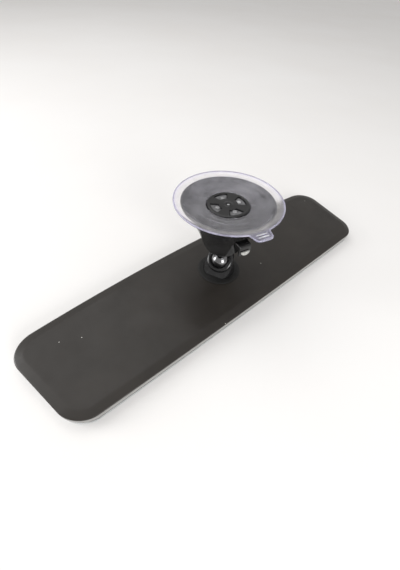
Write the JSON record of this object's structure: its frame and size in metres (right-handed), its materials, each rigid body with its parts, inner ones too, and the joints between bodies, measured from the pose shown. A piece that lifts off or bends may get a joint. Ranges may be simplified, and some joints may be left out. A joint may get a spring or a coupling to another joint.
{
  "type": "mirror monitor with suction mount",
  "caption": "Long rear view mirror monitor of a reversing camera set, with a ball joint and a lever-locked suction cup on its back.",
  "frame": {"origin": "centre of the mirror glass's front face, on which the part lies", "axes": "+X along the monitor's length, port end at -X; +Y across it towards the bowed top edge; +Z out of the back towards the suction cup"},
  "size_m": [0.29, 0.077, 0.0705],
  "materials": {
    "mirror": "half-silvered front glass",
    "frame_grey": "satin silver-grey moulded plastic",
    "cover_black": "fine satin black moulded plastic",
    "gloss_black": "polished black plastic",
    "ball_metal": "dark gunmetal polished ball",
    "steel": "plain steel",
    "aluminium": "bright can",
    "rubber": "matt black rubber",
    "nylon": "black nylon",
    "foam_tape": "black foam",
    "board": "green solder mask",
    "chip": "black moulded package",
    "ribbon": "amber film",
    "connector": "cream connector plastic",
    "panel_glass": "dark display glass",
    "grip_grey": "light grey grip",
    "clear_pad": "clear soft plastic with a faint violet tint"
  },
  "bodies": {
    "monitor": {"mirror_glass": "mirror", "glass_tape": "foam_tape", "mid_frame": "frame_grey", "rear_cover": "cover_black", "display_panel": "panel_glass", "backlight_unit": "steel", "display_gasket": "foam_tape", "display_ribbon": "ribbon", "main_board": "board", "video_chip": "chip", "memory_chip": "chip", "power_chip": "chip", "receiver_chip": "chip", "capacitor_1": "aluminium", "capacitor_2": "aluminium", "capacitor_3": "aluminium", "ribbon_connector": "connector", "touch_key_strip": "ribbon", "board_screw_1": "steel", "board_screw_2": "steel", "board_screw_3": "steel", "board_screw_4": "steel", "port_connector": "steel", "mount_backing_plate": "steel", "mount_screw_1": "steel", "mount_screw_2": "steel", "mount_screw_3": "steel", "mount_screw_4": "steel", "flange_pad": "rubber", "socket_base": "gloss_black", "ball_seat": "nylon", "retaining_ring": "gloss_black"},
    "ball": {"ball": "ball_metal"},
    "neck": {"ball_neck": "gloss_black"},
    "cup": {"cup_housing": "gloss_black", "suction_pad": "clear_pad"},
    "stem": {"draw_stem": "steel", "pad_hub": "gloss_black", "lever_pin": "steel"},
    "lever": {"lock_lever": "gloss_black", "lever_grip": "grip_grey"}
  },
  "joints": [
    {"name": "ball_tilt", "type": "hinge", "parent": "monitor", "child": "ball", "pos_m": [-0.0003, 0.0012, 0.0193], "axis": [0.4226, -0.9063, 0], "range_deg": [0, 55]},
    {"name": "ball_swing", "type": "hinge", "parent": "ball", "child": "neck", "pos_m": [-0.0003, 0.0012, 0.0193], "axis": [-0.9063, -0.4226, 0], "range_deg": [-12, 12]},
    {"name": "cup_turn", "type": "hinge", "parent": "neck", "child": "cup", "pos_m": [-0.0003, 0.0012, 0.0193], "axis": [0, 0, 1], "continuous": true},
    {"name": "stem_draw", "type": "slide", "parent": "cup", "child": "stem", "axis": [0, 0, -1], "range_m": [0, 0.002]},
    {"name": "lever_swing", "type": "hinge", "parent": "stem", "child": "lever", "pos_m": [-0.0003, 0.0012, 0.052], "axis": [0.9703, -0.2419, 0], "range_deg": [0, 50]}
  ],
  "couplings": [
    {"joint": "lever_swing", "follows": "stem_draw", "rad_per_m": 436}
  ]
}
